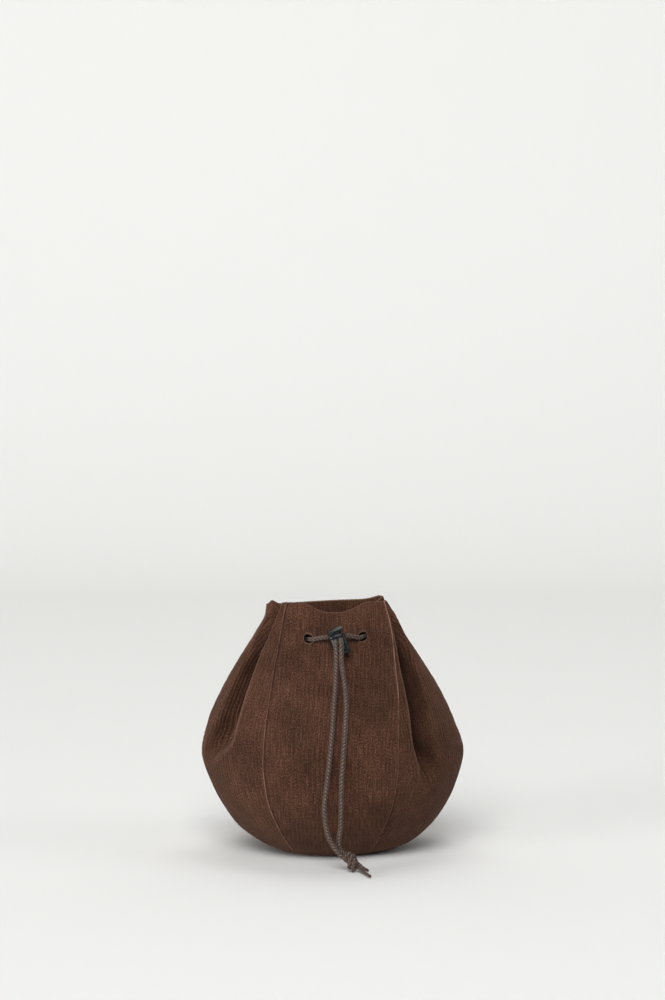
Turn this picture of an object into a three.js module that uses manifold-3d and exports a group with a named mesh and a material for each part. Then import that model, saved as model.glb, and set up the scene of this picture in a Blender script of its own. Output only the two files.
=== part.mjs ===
// Drawstring pouch: six suede gores sewn into a bag, gathered by a braided cord with a spring lock.
// Millimetres, +Z up. The front faces -Y and the base rests on z = 0.
import * as THREE from 'three';
import { mergeVertices } from 'three/addons/utils/BufferGeometryUtils.js';
import Module from 'manifold-3d';

const WALL = 1.5;              // suede thickness
const GAP = 0.3;               // clearance between neighbouring pieces
const RIM_HEIGHT = 189;        // nominal height of the gathered mouth
const CORD_DIAMETER = 4;
const CORD_SIDES = 8;
const HOLE_DIAMETER = 7.4;     // punched holes for the drawstring
const TWIST_DEGREES = 4.5;     // turn of the gathered mouth against the belly
const TWIST_FROM = 75;
const TWIST_TO = 175;
const RIM_RISE_FROM = 140;     // height where the uneven rim starts to show
const BULGE_HANDLE = 0.36;     // curve handle of a side gore, as a share of its chord
const MIDDLE_DIP_HALF_WIDTH = 27;
const FOLD_GROWTH = 58;        // height over which a fold grows from its foot
const CREST_SETTLE = 50;       // height over which the crest line settles from its foot
const FOLD_MID = 112;          // heights between which a fold grows from its middle to its rim depth
const FOLD_TOP = 175;
const ROLL_FROM = 105;         // heights between which the crest softens into a roll
const ROLL_TO = 170;

// One row for each level of the bag, from the middle of the base up to the rim. Half widths at the
// two side seams, the front seam's half spacing and depth, the front's depth and its sideways shift.
const SECTION_COLUMNS = ['z', 'ridgeLeft', 'ridgeRight', 'seam', 'seamDepth', 'front', 'sway'];
const SECTIONS = [
  [0, 1.2, 1.2, 0.6, 1.04, 1.2, 0],
  [0, 35, 39, 18.5, 32, 37, 0],
  [5, 51, 55, 28, 45.5, 52, 0],
  [18.6, 70, 73, 35.5, 60, 69, -0.4],
  [32, 80.5, 83, 41, 70, 81, -0.8],
  [50, 91.5, 93.2, 46.4, 78, 91, -1.2],
  [74, 99.5, 99.5, 49.4, 79.5, 93.5, -1.2],
  [97, 94.8, 92.6, 49, 73, 87, -1],
  [120, 84.8, 82.2, 47.6, 61.5, 74.5, -0.6],
  [143, 72.4, 68.2, 45.6, 47.5, 59, -0.2],
  [166, 59, 53, 42.8, 35, 44, 0],
  [RIM_HEIGHT, 49, 40.5, 38.5, 25.5, 31, 0],
];

// The gores in order round the bag. rim holds the rise of the top edge at the first seam, in the
// middle and at the second seam. A side gore also has a fold: the share of its width at the crest
// and at the crest's foot, the share at the valley, the valley's depth half way up and at the rim,
// and the height of the fold's foot.
const GORES = [
  { name: 'panel_front', side: 0, face: -1, rim: [1.2, -6.6, 1.2] },
  { name: 'panel_front_right', side: 1, face: -1, rim: [1.2, -4, 0],
    fold: { crest: 0.10, crestFoot: 0.17, valley: 0.50, depthMid: 28, depthRim: 35, foot: 54 } },
  { name: 'panel_back_right', side: 1, face: 1, rim: [0, -4, 1.5],
    fold: { crest: 0.24, crestFoot: 0.34, valley: 0.60, depthMid: 26, depthRim: 34, foot: 58 } },
  { name: 'panel_back', side: 0, face: 1, rim: [1.5, -3.4, -2.5] },
  { name: 'panel_back_left', side: -1, face: 1, rim: [-2.5, -6, -2.5],
    fold: { crest: 0.18, crestFoot: 0.26, valley: 0.54, depthMid: 27, depthRim: 35, foot: 56 } },
  { name: 'panel_front_left', side: -1, face: -1, rim: [-2.5, -4, 1.2],
    fold: { crest: 0.27, crestFoot: 0.37, valley: 0.64, depthMid: 25, depthRim: 34, foot: 60 } },
];

const STEPS_PER_SECTION = 2;   // mesh rows between two sections above the flat base
const FLAT_COLUMNS = 6;        // mesh columns of the front and back gores
const FOLD_COLUMNS = [2, 5, 5];  // columns from seam to crest, crest to valley, valley to ridge
const SLOPE_STEP = 0.004;      // parameter step for surface normals

// Route of the drawstring where the bag holds it: from the lock's left channel through the punched
// holes, outside over the middle of each gore and inside behind each seam, to the right channel.
const LOOP_ROUTE = [
  [2.2, -56.0, 163.5], [2.1, -52.4, 162.8], [0.4, -49.6, 162.6], [-3.8, -48.2, 162.9],
  [-9.5, -47.0, 163.3], [-14.3, -44.9, 163.5], [-18.2, -40.6, 163.6], [-23.0, -35.0, 163.6],
  [-30.0, -28.0, 163.2], [-34.6, -21.5, 163.0], [-36.0, -14.0, 162.8], [-37.0, 0.0, 162.7],
  [-38.0, 14.0, 162.7], [-37.6, 21.0, 162.8], [-32.5, 28.5, 163.0], [-27.0, 35.0, 163.2],
  [-23.3, 40.1, 163.4], [-19.3, 44.4, 163.6], [-13.0, 46.6, 163.9], [-3.3, 47.2, 164.5],
  [6.5, 47.6, 165.0], [12.8, 46.9, 165.3], [17.3, 42.9, 165.6], [21.2, 37.4, 165.7],
  [27.0, 30.5, 165.8], [32.5, 24.0, 165.9], [35.0, 14.5, 165.9], [35.8, 0.0, 166.0],
  [36.4, -13.0, 166.0], [35.6, -22.0, 166.0], [31.5, -29.0, 165.9], [27.6, -34.9, 165.9],
  [23.3, -39.4, 165.9], [19.3, -44.0, 165.8], [14.6, -46.4, 165.4], [10.6, -47.9, 165.0],
  [7.8, -49.7, 164.5], [6.3, -52.6, 164.2], [6.2, -56.0, 164.9],
];
const LOOP_STEPS = 66;

// Punches for the holes where the loop crosses a wall: one for each hole of the front and back, and
// one for each pair of holes through the two sides of a fold.
const HOLE_PUNCHES = [
  { at: [-17.9, -41.2, 163.6], along: [0.08, 1, -0.55], length: 9 },
  { at: [23.1, -39.7, 165.9], along: [0.2, 1, -0.55], length: 9 },
  { at: [-23.6, 40.5, 163.4], along: [0.2, -1, -0.55], length: 9 },
  { at: [17.2, 43.5, 165.6], along: [0.08, -1, -0.55], length: 9 },
  { at: [-35.6, -17.5, 162.9], along: [-0.12, 1, 0], length: 17 },
  { at: [-37.8, 17.0, 162.8], along: [-0.05, 1, 0], length: 17 },
  { at: [34.2, 18.5, 165.9], along: [0.2, -1, 0], length: 17 },
  { at: [36.2, -17.0, 166.0], along: [0, 1, 0], length: 17 },
];
const PUNCH_SIDES = 16;

// The two free tails: out of the lock's front, down the front gore, off the belly to the knot.
const TAIL_LEFT_ROUTE = [
  [2.2, -56.4, 163.6], [2.2, -61.0, 164.5], [2.2, -65.4, 164.1], [2.3, -68.7, 161.2],
  [2.4, -70.0, 156.8], [2.4, -69.9, 150.5], [2.3, -69.6, 143.0], [1.8, -71.2, 133.7],
  [1.0, -75.5, 123.6], [-0.4, -87.0, 103.3], [-2.3, -94.9, 82.7], [-4.1, -96.5, 65.8], [-5.6, -96.9, 51.5],
  [-5.9, -97.2, 42.8], [-3.7, -97.7, 31.3], [0.0, -98.3, 21.2], [8.15, -98.9, 10.7],
];
const TAIL_RIGHT_ROUTE = [
  [6.2, -56.4, 165.0], [6.2, -61.0, 165.9], [6.3, -65.4, 165.4], [6.6, -68.7, 162.4],
  [6.8, -70.0, 158.0], [6.9, -69.9, 151.0], [7.4, -69.7, 145.0], [8.3, -70.6, 137.9],
  [9.3, -73.0, 129.0], [10.0, -79.5, 116.8], [9.3, -87.0, 103.3], [8.2, -93.1, 88.3], [7.0, -96.2, 73.0],
  [6.3, -96.4, 57.2], [5.4, -95.6, 42.8], [4.3, -94.0, 31.3], [5.0, -93.2, 23.0], [10.7, -95.3, 12.2],
];
const TAIL_STEPS = 36;

const KNOT_CENTRE = [13.6, -98.6, 6.7];
const KNOT_RADII = [6.6, 6.2, 6.4];
const KNOT_SEGMENTS = [14, 9];
const TIP_ROUTES = [
  [[16.0, -100.0, 6.0], [21.0, -101.6, 3.4], [26.3, -103.2, 2.3]],
  [[15.5, -101.5, 5.2], [20.0, -108.0, 3.0], [24.2, -115.0, 2.3], [27.2, -122.0, 2.3]],
];
const TIP_STEPS = 6;

// Spring cord lock, drawn about the middle of its cord hole with the button up, then tilted.
const LOCK_CENTRE = [4.2, -56.4, 164.3];
const LOCK_TILT_DEGREES = 20;  // button towards the left
const LOCK_LEAN_DEGREES = 12;  // button towards the bag
const LOCK_DEPTH_SHARE = 0.8;  // oval section, depth against width
const BARREL_RADIUS = 6.2;
const BARREL_RING_RADIUS = 6.6;
const BARREL_TOP = 4.4;
const BARREL_BOTTOM = -11.7;
const BARREL_RING_HEIGHT = 2;
const BARREL_FOOT_INSETS = [[2.2, 0], [0.8, 0.9], [0.2, 2.6]];  // rounded foot: inset and height
const BORE_RADIUS = 5.4;
const BORE_FLOOR = -9.8;
const STEM_BOTTOM = -7.4;
const BUTTON_TRAVEL = 2;
const CAP_RADIUS = 5.9;
const CAP_TOP = 10;
const CHANNEL_HALF_WIDTH = 4.45;
const CHANNEL_HALF_HEIGHT = 2.35;
const CHANNEL_CORNER = 2.2;
const LATHE_SEGMENTS = 20;
const EDGE_ROUND = 0.6;

const wasm = await Module();
wasm.setup();
const { smoothstep, lerp, clamp, degToRad } = THREE.MathUtils;
const vector = ([x, y, z]) => new THREE.Vector3(x, y, z);

// Monotone cubic through equally spaced values, so that flat stretches stay flat.
function monotone(values, v) {
  const i = clamp(Math.floor(v), 0, values.length - 2);
  const rise = (k) => values[k + 1] - values[k];
  const slope = (k) => {
    if (k === 0) return rise(0);
    if (k === values.length - 1) return rise(k - 1);
    const product = rise(k - 1) * rise(k);
    return product > 0 ? 2 * product / (rise(k - 1) + rise(k)) : 0;
  };
  const t = v - i;
  const s = 1 - t;
  return values[i] * (1 + 2 * t) * s * s + slope(i) * t * s * s
    + values[i + 1] * t * t * (3 - 2 * t) - slope(i + 1) * t * t * s;
}

const sectionColumns = SECTION_COLUMNS.map((name, i) => [name, SECTIONS.map((row) => row[i])]);
const section = (v) => (
  Object.fromEntries(sectionColumns.map(([name, values]) => [name, monotone(values, v)])));

// Half-cosine shoulder: one at 0 and none at 1, creased at 0 when the power is below one.
const shoulder = (t, power) => 0.5 * (1 + Math.cos(Math.PI * clamp(t, 0, 1) ** power));

function crestShare(fold, z) {
  return lerp(fold.crestFoot, fold.crest, smoothstep(z, fold.foot, fold.foot + CREST_SETTLE));
}

// Share of the fold's depth at a share w of a side gore's width.
function foldShape(fold, w, z) {
  const power = 1 - 0.5 * smoothstep(z, ROLL_FROM, ROLL_TO);
  if (w < fold.valley) return shoulder((fold.valley - w) / (fold.valley - crestShare(fold, z)), power);
  return shoulder((w - fold.valley) / (1 - fold.valley), 0.5);
}

function foldDepth(fold, z) {
  const grown = fold.depthMid * smoothstep(z, fold.foot, fold.foot + FOLD_GROWTH);
  return grown + (fold.depthRim - fold.depthMid) * smoothstep(z, FOLD_MID, FOLD_TOP);
}

// Outer face of a gore: u runs round the bag from seam to seam, v up the sections.
function gorePoint(gore, u, v) {
  const row = section(v);
  const point = new THREE.Vector3(0, 0, row.z);
  let middle;
  if (gore.side === 0) {
    const k = 2 * u - 1;
    const bulge = row.front - (row.front - row.seamDepth) * k * k;
    point.set(-gore.face * row.seam * k + row.sway, gore.face * bulge, row.z);
    middle = shoulder(Math.abs(row.seam * k) / MIDDLE_DIP_HALF_WIDTH, 1);
  } else {
    const w = gore.side === -gore.face ? u : 1 - u;
    const ridge = gore.side > 0 ? row.ridgeRight : row.ridgeLeft;
    const from = new THREE.Vector2(row.seam + gore.side * row.sway, row.seamDepth);
    const to = new THREE.Vector2(ridge, 0);
    const handle = BULGE_HANDLE * from.distanceTo(to);
    const slope = new THREE.Vector2(1, -2 * (row.front - row.seamDepth) / row.seam).setLength(handle);
    const handles = [from.clone().add(slope), new THREE.Vector2(ridge, handle)];
    const plan = new THREE.CubicBezierCurve(from, ...handles, to).getPoint(w);
    middle = foldShape(gore.fold, w, row.z);
    const x = plan.x - foldDepth(gore.fold, row.z) * middle;
    point.set(gore.side * x, gore.face * plan.y, row.z);
  }
  const edge = lerp(gore.rim[0], gore.rim[2], u);
  point.z += lerp(edge, gore.rim[1], middle) * smoothstep(row.z, RIM_RISE_FROM, RIM_HEIGHT);
  const turn = degToRad(TWIST_DEGREES) * smoothstep(row.z, TWIST_FROM, TWIST_TO);
  return point.applyAxisAngle(new THREE.Vector3(0, 0, 1), turn);
}

function goreNormal(gore, u, v) {
  const last = SECTIONS.length - 1;
  const at = (a, b) => gorePoint(gore, clamp(a, 0, 1), clamp(b, 0, last));
  const across = at(u + SLOPE_STEP, v).sub(at(u - SLOPE_STEP, v));
  const up = at(u, v + SLOPE_STEP).sub(at(u, v - SLOPE_STEP));
  return across.cross(up).normalize();
}

// Mesh columns of a gore at level v, closer on the folds, with half the seam gap left at each edge.
function goreColumns(gore, v) {
  let shares = Array.from({ length: FLAT_COLUMNS + 1 }, (_, i) => i / FLAT_COLUMNS);
  if (gore.fold) {
    const stops = [0, crestShare(gore.fold, section(v).z), gore.fold.valley, 1];
    shares = [0];
    FOLD_COLUMNS.forEach((count, k) => {
      for (let i = 1; i <= count; i += 1) shares.push(lerp(stops[k], stops[k + 1], i / count));
    });
    if (gore.side !== -gore.face) shares = shares.map((w) => 1 - w).reverse();
  }
  const points = shares.map((u) => gorePoint(gore, u, v));
  const width = points.slice(1).reduce((sum, p, i) => sum + p.distanceTo(points[i]), 0);
  const inset = GAP / 2 / width;
  return shares.map((u) => lerp(inset, 1 - inset, u));
}

// Closed sheet between the outer grid and the same grid moved in by the wall.
function gorePanel(gore) {
  const levels = [0, 1];
  for (let v = 1; v < SECTIONS.length - 1; v += 1 / STEPS_PER_SECTION) levels.push(v + 1 / STEPS_PER_SECTION);
  const grid = levels.map((v) => goreColumns(gore, v).map((u) => [u, v]));
  const outer = grid.map((row) => row.map(([u, v]) => gorePoint(gore, u, v)));
  const inner = grid.map((row, i) => row.map(([u, v], j) => (
    outer[i][j].clone().addScaledVector(goreNormal(gore, u, v), -WALL))));
  const columns = grid[0].length;
  const rows = grid.length;
  const positions = [outer, inner].flat(2).flatMap((p) => p.toArray());
  const id = (layer, i, j) => (layer * rows + i) * columns + j;
  const index = [];
  const quad = (a, b, c, d) => index.push(a, b, c, a, c, d);
  for (let i = 0; i < rows - 1; i += 1) {
    for (let j = 0; j < columns - 1; j += 1) {
      quad(id(0, i, j), id(0, i, j + 1), id(0, i + 1, j + 1), id(0, i + 1, j));
      quad(id(1, i + 1, j), id(1, i + 1, j + 1), id(1, i, j + 1), id(1, i, j));
    }
    quad(id(0, i, 0), id(0, i + 1, 0), id(1, i + 1, 0), id(1, i, 0));
    quad(id(1, i, columns - 1), id(1, i + 1, columns - 1), id(0, i + 1, columns - 1), id(0, i, columns - 1));
  }
  for (let j = 0; j < columns - 1; j += 1) {
    quad(id(1, 0, j), id(1, 0, j + 1), id(0, 0, j + 1), id(0, 0, j));
    quad(id(0, rows - 1, j), id(0, rows - 1, j + 1), id(1, rows - 1, j + 1), id(1, rows - 1, j));
  }
  const geometry = new THREE.BufferGeometry();
  geometry.setAttribute('position', new THREE.Float32BufferAttribute(positions, 3));
  geometry.setIndex(index);
  return geometry;
}

// Round cord along hand-picked points.
function cord(route, radius, steps) {
  const path = new THREE.CatmullRomCurve3(route.map(vector), false, 'centripetal');
  const ring = new THREE.Shape().absarc(0, 0, radius, 0, 2 * Math.PI);
  const settings = { steps, bevelEnabled: false, extrudePath: path, curveSegments: CORD_SIDES / 2 };
  return new THREE.ExtrudeGeometry(ring, settings);
}

function solid(geometry) {
  const plain = new THREE.BufferGeometry();
  plain.setAttribute('position', geometry.getAttribute('position').clone());
  if (geometry.index) plain.setIndex(geometry.index.clone());
  const merged = mergeVertices(plain, 1e-4);
  const vertProperties = new Float32Array(merged.getAttribute('position').array);
  const triVerts = new Uint32Array(merged.index.array);
  return new wasm.Manifold(new wasm.Mesh({ numProp: 3, vertProperties, triVerts }));
}

function surface(body) {
  const mesh = body.getMesh();
  const geometry = new THREE.BufferGeometry();
  geometry.setAttribute('position', new THREE.BufferAttribute(mesh.vertProperties, 3));
  geometry.setIndex(new THREE.BufferAttribute(mesh.triVerts, 1));
  return geometry;
}

const group = new THREE.Group();
function addPiece(name, geometry, material) {
  const mesh = new THREE.Mesh(geometry, material);
  mesh.name = name;
  group.add(mesh);
}

const suede = new THREE.MeshStandardMaterial({ name: 'suede', color: 0x51372c, roughness: 0.95 });
const braid = new THREE.MeshStandardMaterial({ name: 'braid', color: 0x5c4e46, roughness: 0.85 });
const plastic = new THREE.MeshStandardMaterial({ name: 'plastic', color: 0x2a3032, roughness: 0.5 });

// The loop's own clearance is cut too, so that the cord never touches the edge of a hole.
const loopClearance = solid(cord(LOOP_ROUTE, CORD_DIAMETER / 2 + GAP, LOOP_STEPS));
function holePunch({ at, along, length }) {
  const punch = new THREE.CylinderGeometry(HOLE_DIAMETER / 2, HOLE_DIAMETER / 2, length, PUNCH_SIDES);
  const axis = vector(along).normalize();
  const turn = new THREE.Quaternion().setFromUnitVectors(new THREE.Vector3(0, 1, 0), axis);
  return solid(punch.applyQuaternion(turn).translate(...at));
}

const punches = HOLE_PUNCHES.map(holePunch);
GORES.forEach((gore) => {
  const cut = punches.reduce((body, punch) => body.subtract(punch), solid(gorePanel(gore)));
  addPiece(gore.name, surface(cut.subtract(loopClearance)), suede);
});

addPiece('cord_loop', cord(LOOP_ROUTE, CORD_DIAMETER / 2, LOOP_STEPS), braid);
addPiece('cord_tail_left', cord(TAIL_LEFT_ROUTE, CORD_DIAMETER / 2, TAIL_STEPS), braid);
addPiece('cord_tail_right', cord(TAIL_RIGHT_ROUTE, CORD_DIAMETER / 2, TAIL_STEPS), braid);

const knotBall = new THREE.SphereGeometry(1, ...KNOT_SEGMENTS).scale(...KNOT_RADII).translate(...KNOT_CENTRE);
const tips = TIP_ROUTES.map((route) => solid(cord(route, CORD_DIAMETER / 2, TIP_STEPS)));
addPiece('cord_knot', surface(tips.reduce((body, tip) => body.add(tip), solid(knotBall))), braid);

// Oval solid of revolution about the lock's axis, given radius and height pairs.
function lockTurning(profile) {
  const points = profile.map(([radius, height]) => new THREE.Vector2(radius, height));
  const turned = new THREE.LatheGeometry(points, LATHE_SEGMENTS).rotateX(Math.PI / 2);
  return solid(turned.scale(1, LOCK_DEPTH_SHARE, 1));
}

// Rounded slot through the lock from front to back, between two heights.
function channelCutter(bottom, top) {
  const half = CHANNEL_HALF_WIDTH;
  const r = CHANNEL_CORNER;
  const slot = new THREE.Shape();
  slot.absarc(half - r, bottom + r, r, -Math.PI / 2, 0);
  slot.absarc(half - r, top - r, r, 0, Math.PI / 2);
  slot.absarc(r - half, top - r, r, Math.PI / 2, Math.PI);
  slot.absarc(r - half, bottom + r, r, Math.PI, 1.5 * Math.PI);
  const depth = 4 * BARREL_RING_RADIUS;
  const block = new THREE.ExtrudeGeometry(slot, { depth, bevelEnabled: false, curveSegments: 4 });
  return solid(block.rotateX(Math.PI / 2).translate(0, depth / 2, 0));
}

const lockPose = new THREE.Matrix4()
  .makeRotationY(-degToRad(LOCK_TILT_DEGREES))
  .multiply(new THREE.Matrix4().makeRotationX(-degToRad(LOCK_LEAN_DEGREES)))
  .setPosition(...LOCK_CENTRE);

const ringFoot = BARREL_TOP - BARREL_RING_HEIGHT;
const barrelProfile = [
  [0, BARREL_BOTTOM],
  ...BARREL_FOOT_INSETS.map(([inset, height]) => [BARREL_RADIUS - inset, BARREL_BOTTOM + height]),
  [BARREL_RADIUS, ringFoot - EDGE_ROUND],
  [BARREL_RING_RADIUS, ringFoot], [BARREL_RING_RADIUS, BARREL_TOP - EDGE_ROUND],
  [BARREL_RING_RADIUS - EDGE_ROUND, BARREL_TOP], [0, BARREL_TOP],
];
const bore = lockTurning([[0, BORE_FLOOR], [BORE_RADIUS, BORE_FLOOR], [BORE_RADIUS, CAP_TOP], [0, CAP_TOP]]);
const stemRadius = BORE_RADIUS - GAP;
const capFoot = BARREL_TOP + GAP + BUTTON_TRAVEL;
const buttonProfile = [
  [0, STEM_BOTTOM], [stemRadius, STEM_BOTTOM], [stemRadius, capFoot], [CAP_RADIUS, capFoot],
  [CAP_RADIUS, CAP_TOP - EDGE_ROUND], [CAP_RADIUS - EDGE_ROUND, CAP_TOP], [0, CAP_TOP],
];
const barrelChannel = channelCutter(-CHANNEL_HALF_HEIGHT, CHANNEL_HALF_HEIGHT);
const stemChannel = channelCutter(-CHANNEL_HALF_HEIGHT, CHANNEL_HALF_HEIGHT + BUTTON_TRAVEL);
const barrel = lockTurning(barrelProfile).subtract(bore).subtract(barrelChannel);
const button = lockTurning(buttonProfile).subtract(stemChannel);
const tailClearance = [TAIL_LEFT_ROUTE, TAIL_RIGHT_ROUTE]
  .map((route) => solid(cord(route, CORD_DIAMETER / 2 + GAP, TAIL_STEPS)))
  .reduce((body, tail) => body.add(tail));
const placed = (body) => solid(surface(body).applyMatrix4(lockPose));
addPiece('lock_barrel', surface(placed(barrel).subtract(loopClearance).subtract(tailClearance)), plastic);
addPiece('lock_button', surface(placed(button)), plastic);

export default group;
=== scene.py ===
"""Looks of a drawstring pouch: six suede gores, a braided drawstring, its knot and its spring lock.

Shapes are worked out in millimetres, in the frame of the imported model, and go into the scene in metres.
"""
import bpy
import numpy as np
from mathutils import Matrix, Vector


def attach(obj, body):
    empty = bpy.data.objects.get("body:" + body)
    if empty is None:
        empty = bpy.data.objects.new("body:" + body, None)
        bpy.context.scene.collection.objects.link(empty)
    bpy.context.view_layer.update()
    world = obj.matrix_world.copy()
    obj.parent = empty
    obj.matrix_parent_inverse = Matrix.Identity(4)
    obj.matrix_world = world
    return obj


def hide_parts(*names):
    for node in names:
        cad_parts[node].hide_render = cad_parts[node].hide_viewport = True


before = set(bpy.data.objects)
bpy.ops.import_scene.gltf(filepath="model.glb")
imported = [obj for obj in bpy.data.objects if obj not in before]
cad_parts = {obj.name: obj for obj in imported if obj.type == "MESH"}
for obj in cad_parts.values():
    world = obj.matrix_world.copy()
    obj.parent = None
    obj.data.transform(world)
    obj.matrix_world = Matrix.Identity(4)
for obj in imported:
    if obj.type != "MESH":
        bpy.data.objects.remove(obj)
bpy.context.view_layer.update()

MM = 0.001
MAIN_OUTPUTS = {"ShaderNodeAttribute": "Fac", "ShaderNodeTexCoord": "Object"}  # the first in other nodes

# Camera, for an image 665 wide and 1000 high: a long lens and a low view, with its place in metres
IMAGE_HEIGHT_PIXELS = 1000
FOCAL_PIXELS = 2400
SENSOR_HEIGHT = 36.0
CAMERA_PLACE = (0.0, -1.8258, 0.3549)
CAMERA_DIP_DEGREES = 2.796

# Drawstring: a round braid of two sets of yarns
CORD_DIAMETER = 3.7
KNOT_CORD_DIAMETER = 3.4  # the cord squeezed in the tight knot
BRAID_YARNS = 4  # yarns wound each way, fewer and thicker than real ones so that they show
YARN_FLOAT = 2  # yarns that each goes over, and then under
YARN_ROUNDNESS = 0.7  # power of a yarn's height across it, less for a flatter yarn
YARN_DIP = 0.55  # height of a yarn's ends, as a share of its crown
BRAID_LEAD = 10.4  # length in which a yarn winds once round
BRAID_DEPTH = 0.55  # how far the yarn edges lie below their crowns
CORD_RING_POINTS = 40
CORD_RING_STEP = 0.4
CORD_SPAN_STEPS = 40  # steps between two route points, before they are evened out
CORD_END_ROUND = 0.5
DIRECTIONS_TRIED = 200
CUT_END_DIAMETER = 2.3  # the cut tips pulled thin, over the next length
THIN_LENGTH = 22.0
CORD_PAINTED_SHADE_TONES = ((0.05, "#130d0a"), (0.5, "#3c2f29"), (0.95, "#67544a"))  # from painted shade in the gaps up to painted highlight on the crowns
FIBRE_FLECK = 1.6
FIBRE_HEIGHT = 0.1

# The loop that the bag holds: from the lock's left channel through the punched holes, outside over
# the middle of each gore and inside behind each seam, to the right channel
LOOP_ROUTE = [
    (2.2, -56.0, 163.5), (2.1, -52.4, 163.7), (0.5, -49.8, 165.1), (-3.4, -48.4, 165.9),
    (-8.9, -47.5, 165.2), (-13.0, -46.0, 164.3), (-15.6, -43.6, 163.7), (-16.9, -40.2, 163.2),
    (-18.8, -36.6, 163.0), (-23.4, -32.9, 163.1), (-30.0, -28.0, 163.2), (-34.6, -21.5, 163.0),
    (-36.0, -14.0, 162.8), (-37.0, 0.0, 162.7),
    (-38.0, 14.0, 162.7), (-37.6, 21.0, 162.8), (-32.5, 28.5, 163.0), (-27.0, 35.0, 163.2),
    (-23.3, 40.1, 163.4), (-19.3, 44.4, 163.6), (-13.0, 46.6, 163.9), (-3.3, 47.2, 164.5),
    (6.5, 47.6, 165.0), (12.8, 46.9, 165.3), (17.3, 42.9, 165.6), (21.2, 37.4, 165.7),
    (27.0, 30.5, 165.8), (32.5, 24.0, 165.9), (35.0, 14.5, 165.9), (35.8, 0.0, 166.0),
    (36.4, -13.0, 166.0), (35.6, -22.0, 166.0), (31.5, -29.0, 165.8), (26.8, -31.9, 165.4),
    (23.0, -35.4, 165.0), (21.5, -38.8, 164.8), (20.5, -42.2, 165.0), (18.0, -45.2, 165.6),
    (14.6, -46.9, 166.4), (10.8, -48.2, 167.0), (8.0, -49.9, 166.5), (6.4, -52.6, 165.2),
    (6.2, -56.0, 164.9),
]

# The two free tails: out of the lock's front, down the front gore and off the belly to the knot
TAIL_LEFT_ROUTE = [
    (2.2, -56.4, 163.6), (2.2, -61.0, 163.9), (2.3, -65.2, 163.2), (2.5, -68.5, 160.5),
    (2.7, -69.9, 156.4), (2.7, -69.9, 150.5), (2.6, -69.6, 143.0), (2.2, -71.2, 133.7),
    (1.4, -75.5, 123.6), (0.0, -87.0, 103.3), (-1.9, -94.9, 82.7), (-3.8, -96.5, 65.8),
    (-5.6, -96.9, 51.5), (-5.9, -97.2, 42.8), (-4.4, -97.6, 31.3), (-2.5, -97.8, 24.4),
    (0.3, -98.1, 19.4), (2.9, -98.4, 15.7), (7.4, -98.9, 11.2), (10.6, -99.0, 9.2),
]
TAIL_RIGHT_ROUTE = [
    (6.2, -56.4, 165.0), (6.2, -61.0, 165.2), (6.2, -65.2, 164.4), (6.4, -68.5, 161.6),
    (6.5, -69.9, 157.4), (6.6, -69.9, 151.0), (7.2, -69.7, 145.0), (8.2, -70.6, 137.9),
    (9.3, -73.0, 129.0), (10.0, -79.5, 116.8), (9.3, -87.0, 103.3), (8.2, -93.1, 88.3),
    (7.0, -96.2, 73.0), (6.3, -96.4, 57.2), (6.2, -95.8, 42.8), (5.8, -95.2, 31.8),
    (4.7, -94.5, 24.2), (4.6, -94.2, 19.4), (5.9, -94.4, 15.2), (9.6, -95.4, 12.1), (12.6, -96.4, 10.0),
]
TAIL_ROLL_DEGREES = {"left": 90, "right": -45}  # turn of the braid about each tail

# Knot: both cords tied together in one overhand knot about this axis. shift: place of a strand's wrap along
# the axis. start: angle where it begins. core: how far beside the axis the strand runs through. tip: its way
# out to the cut end. Core and tuck points are a distance along the axis and a share of the core's offset
KNOT_CENTRE = np.array([14.2, -98.6, 7.4])
KNOT_AXIS = np.array([0.86, -0.28, -0.43])
KNOT_WRAP_RADIUS = 4.3
KNOT_WRAP_PITCH = 3.2
KNOT_WRAP_TURN_DEGREES = 330
KNOT_WRAP_SLANT = -1.6  # how far the wraps lean along the axis
KNOT_WRAP_POINTS = 15
KNOT_CORE = ((-5.0, 1.0), (-1.0, 1.0), (2.6, 1.6))
KNOT_TUCK_BACK = 1.2  # how far behind the wrap's end the tuck starts
KNOT_TUCK_START_SHARE = -0.4
KNOT_TUCK = ((0.5, -0.9), (5.6, -1.0))
KNOT_STRANDS = [
    {"shift": 1.7, "start": 35, "core": (-1.3, -0.7), "tip": [(22.0, -103.6, 4.4), (26.3, -104.6, 2.0)]},
    {"shift": -1.7, "start": 55, "core": (1.0, -0.6),
     "tip": [(21.4, -106.6, 2.9), (24.4, -114.4, 2.0), (27.2, -122.0, 1.8)]},
]

# Bag: one row for each level, from the middle of the base up to the rim. Half widths at the two side
# seams, the front seam's half spacing and depth, the front's depth and its sideways shift
SECTION_COLUMNS = ("z", "ridge_left", "ridge_right", "seam", "seam_depth", "front", "sway")
SECTIONS = np.array([
    (0, 1.2, 1.2, 0.6, 1.04, 1.2, 0),
    (0, 35, 39, 18.5, 32, 37, 0),
    (5, 52, 58, 28, 45.5, 52, 0),
    (18.6, 72, 75.5, 35.5, 60, 69, -0.4),
    (32, 81.7, 85.6, 41, 70, 81, -0.8),
    (50, 91.5, 94, 46.4, 78, 91, -1.2),
    (74, 99.5, 99.5, 49.4, 79.5, 93.5, -1.2),
    (97, 94.8, 92.6, 49, 73, 87, -1),
    (120, 84.8, 82.2, 47.6, 61.5, 74.5, -0.6),
    (143, 72.4, 68.2, 45.0, 47.5, 59, -0.8),
    (166, 59, 53, 41.8, 35, 44, 0.3),
    (181, 51, 45, 38.7, 28.5, 35, 0.5),
    (189, 50, 40, 36.5, 25.5, 31, 0.5),
])
LAST_LEVEL = len(SECTIONS) - 1
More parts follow.
